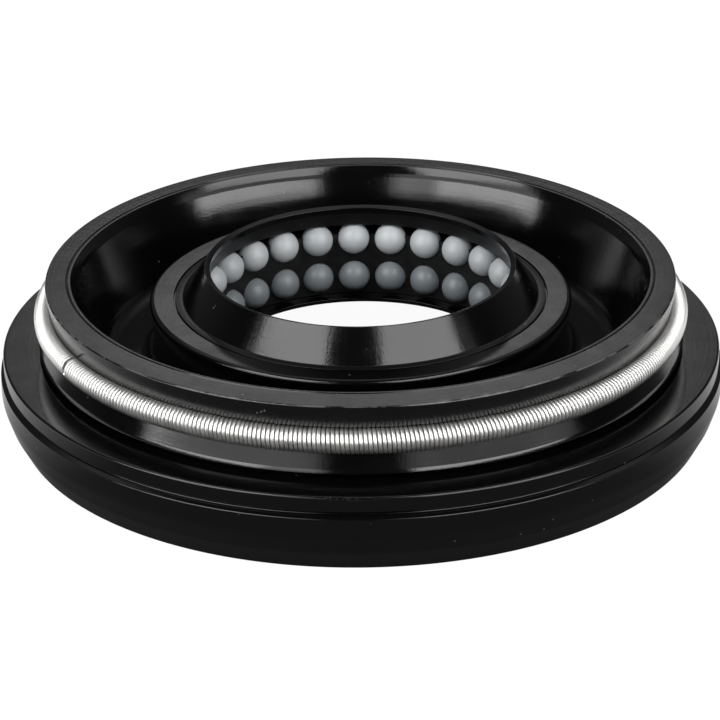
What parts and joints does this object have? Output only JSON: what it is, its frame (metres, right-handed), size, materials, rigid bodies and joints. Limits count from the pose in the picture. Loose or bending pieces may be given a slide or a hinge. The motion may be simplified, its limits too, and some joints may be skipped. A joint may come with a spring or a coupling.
{
  "type": "oil seal",
  "caption": "Round black rubber oil seal with a flanged press-fit skirt, an upright lip held by a steel garter spring, a raised inner lip and pale balls caged in the bore.",
  "frame": {"origin": "on the seal's axis, at the plane of the flange's foot", "axes": "+Z along the seal's axis, from the flange's foot towards the lips; X and Y across the flange"},
  "size_m": [0.068, 0.068, 0.0149],
  "materials": {
    "black_rubber": "satin moulded",
    "spring_steel": "bright drawn wire",
    "cage_plastic": "satin moulded",
    "pale_ball": "smooth"
  },
  "bodies": {
    "seal": {"seal_body": "black_rubber", "garter_spring": "spring_steel"},
    "cage": {"ball_cage": "cage_plastic", "upper_ball_1": "pale_ball", "upper_ball_2": "pale_ball", "upper_ball_3": "pale_ball", "upper_ball_4": "pale_ball", "upper_ball_5": "pale_ball", "upper_ball_6": "pale_ball", "upper_ball_7": "pale_ball", "upper_ball_8": "pale_ball", "upper_ball_9": "pale_ball", "upper_ball_10": "pale_ball", "upper_ball_11": "pale_ball", "upper_ball_12": "pale_ball", "upper_ball_13": "pale_ball", "upper_ball_14": "pale_ball", "upper_ball_15": "pale_ball", "upper_ball_16": "pale_ball", "upper_ball_17": "pale_ball", "upper_ball_18": "pale_ball", "upper_ball_19": "pale_ball", "upper_ball_20": "pale_ball", "upper_ball_21": "pale_ball", "upper_ball_22": "pale_ball", "upper_ball_23": "pale_ball", "upper_ball_24": "pale_ball", "upper_ball_25": "pale_ball", "upper_ball_26": "pale_ball", "lower_ball_1": "pale_ball", "lower_ball_2": "pale_ball", "lower_ball_3": "pale_ball", "lower_ball_4": "pale_ball", "lower_ball_5": "pale_ball", "lower_ball_6": "pale_ball", "lower_ball_7": "pale_ball", "lower_ball_8": "pale_ball", "lower_ball_9": "pale_ball", "lower_ball_10": "pale_ball", "lower_ball_11": "pale_ball", "lower_ball_12": "pale_ball", "lower_ball_13": "pale_ball", "lower_ball_14": "pale_ball", "lower_ball_15": "pale_ball", "lower_ball_16": "pale_ball", "lower_ball_17": "pale_ball", "lower_ball_18": "pale_ball", "lower_ball_19": "pale_ball", "lower_ball_20": "pale_ball", "lower_ball_21": "pale_ball", "lower_ball_22": "pale_ball", "lower_ball_23": "pale_ball", "lower_ball_24": "pale_ball", "lower_ball_25": "pale_ball", "lower_ball_26": "pale_ball"}
  },
  "joints": [
    {"name": "cage_turn", "type": "hinge", "parent": "seal", "child": "cage", "pos_m": [0, 0, 0.0093], "axis": [0, 0, 1], "continuous": true}
  ]
}
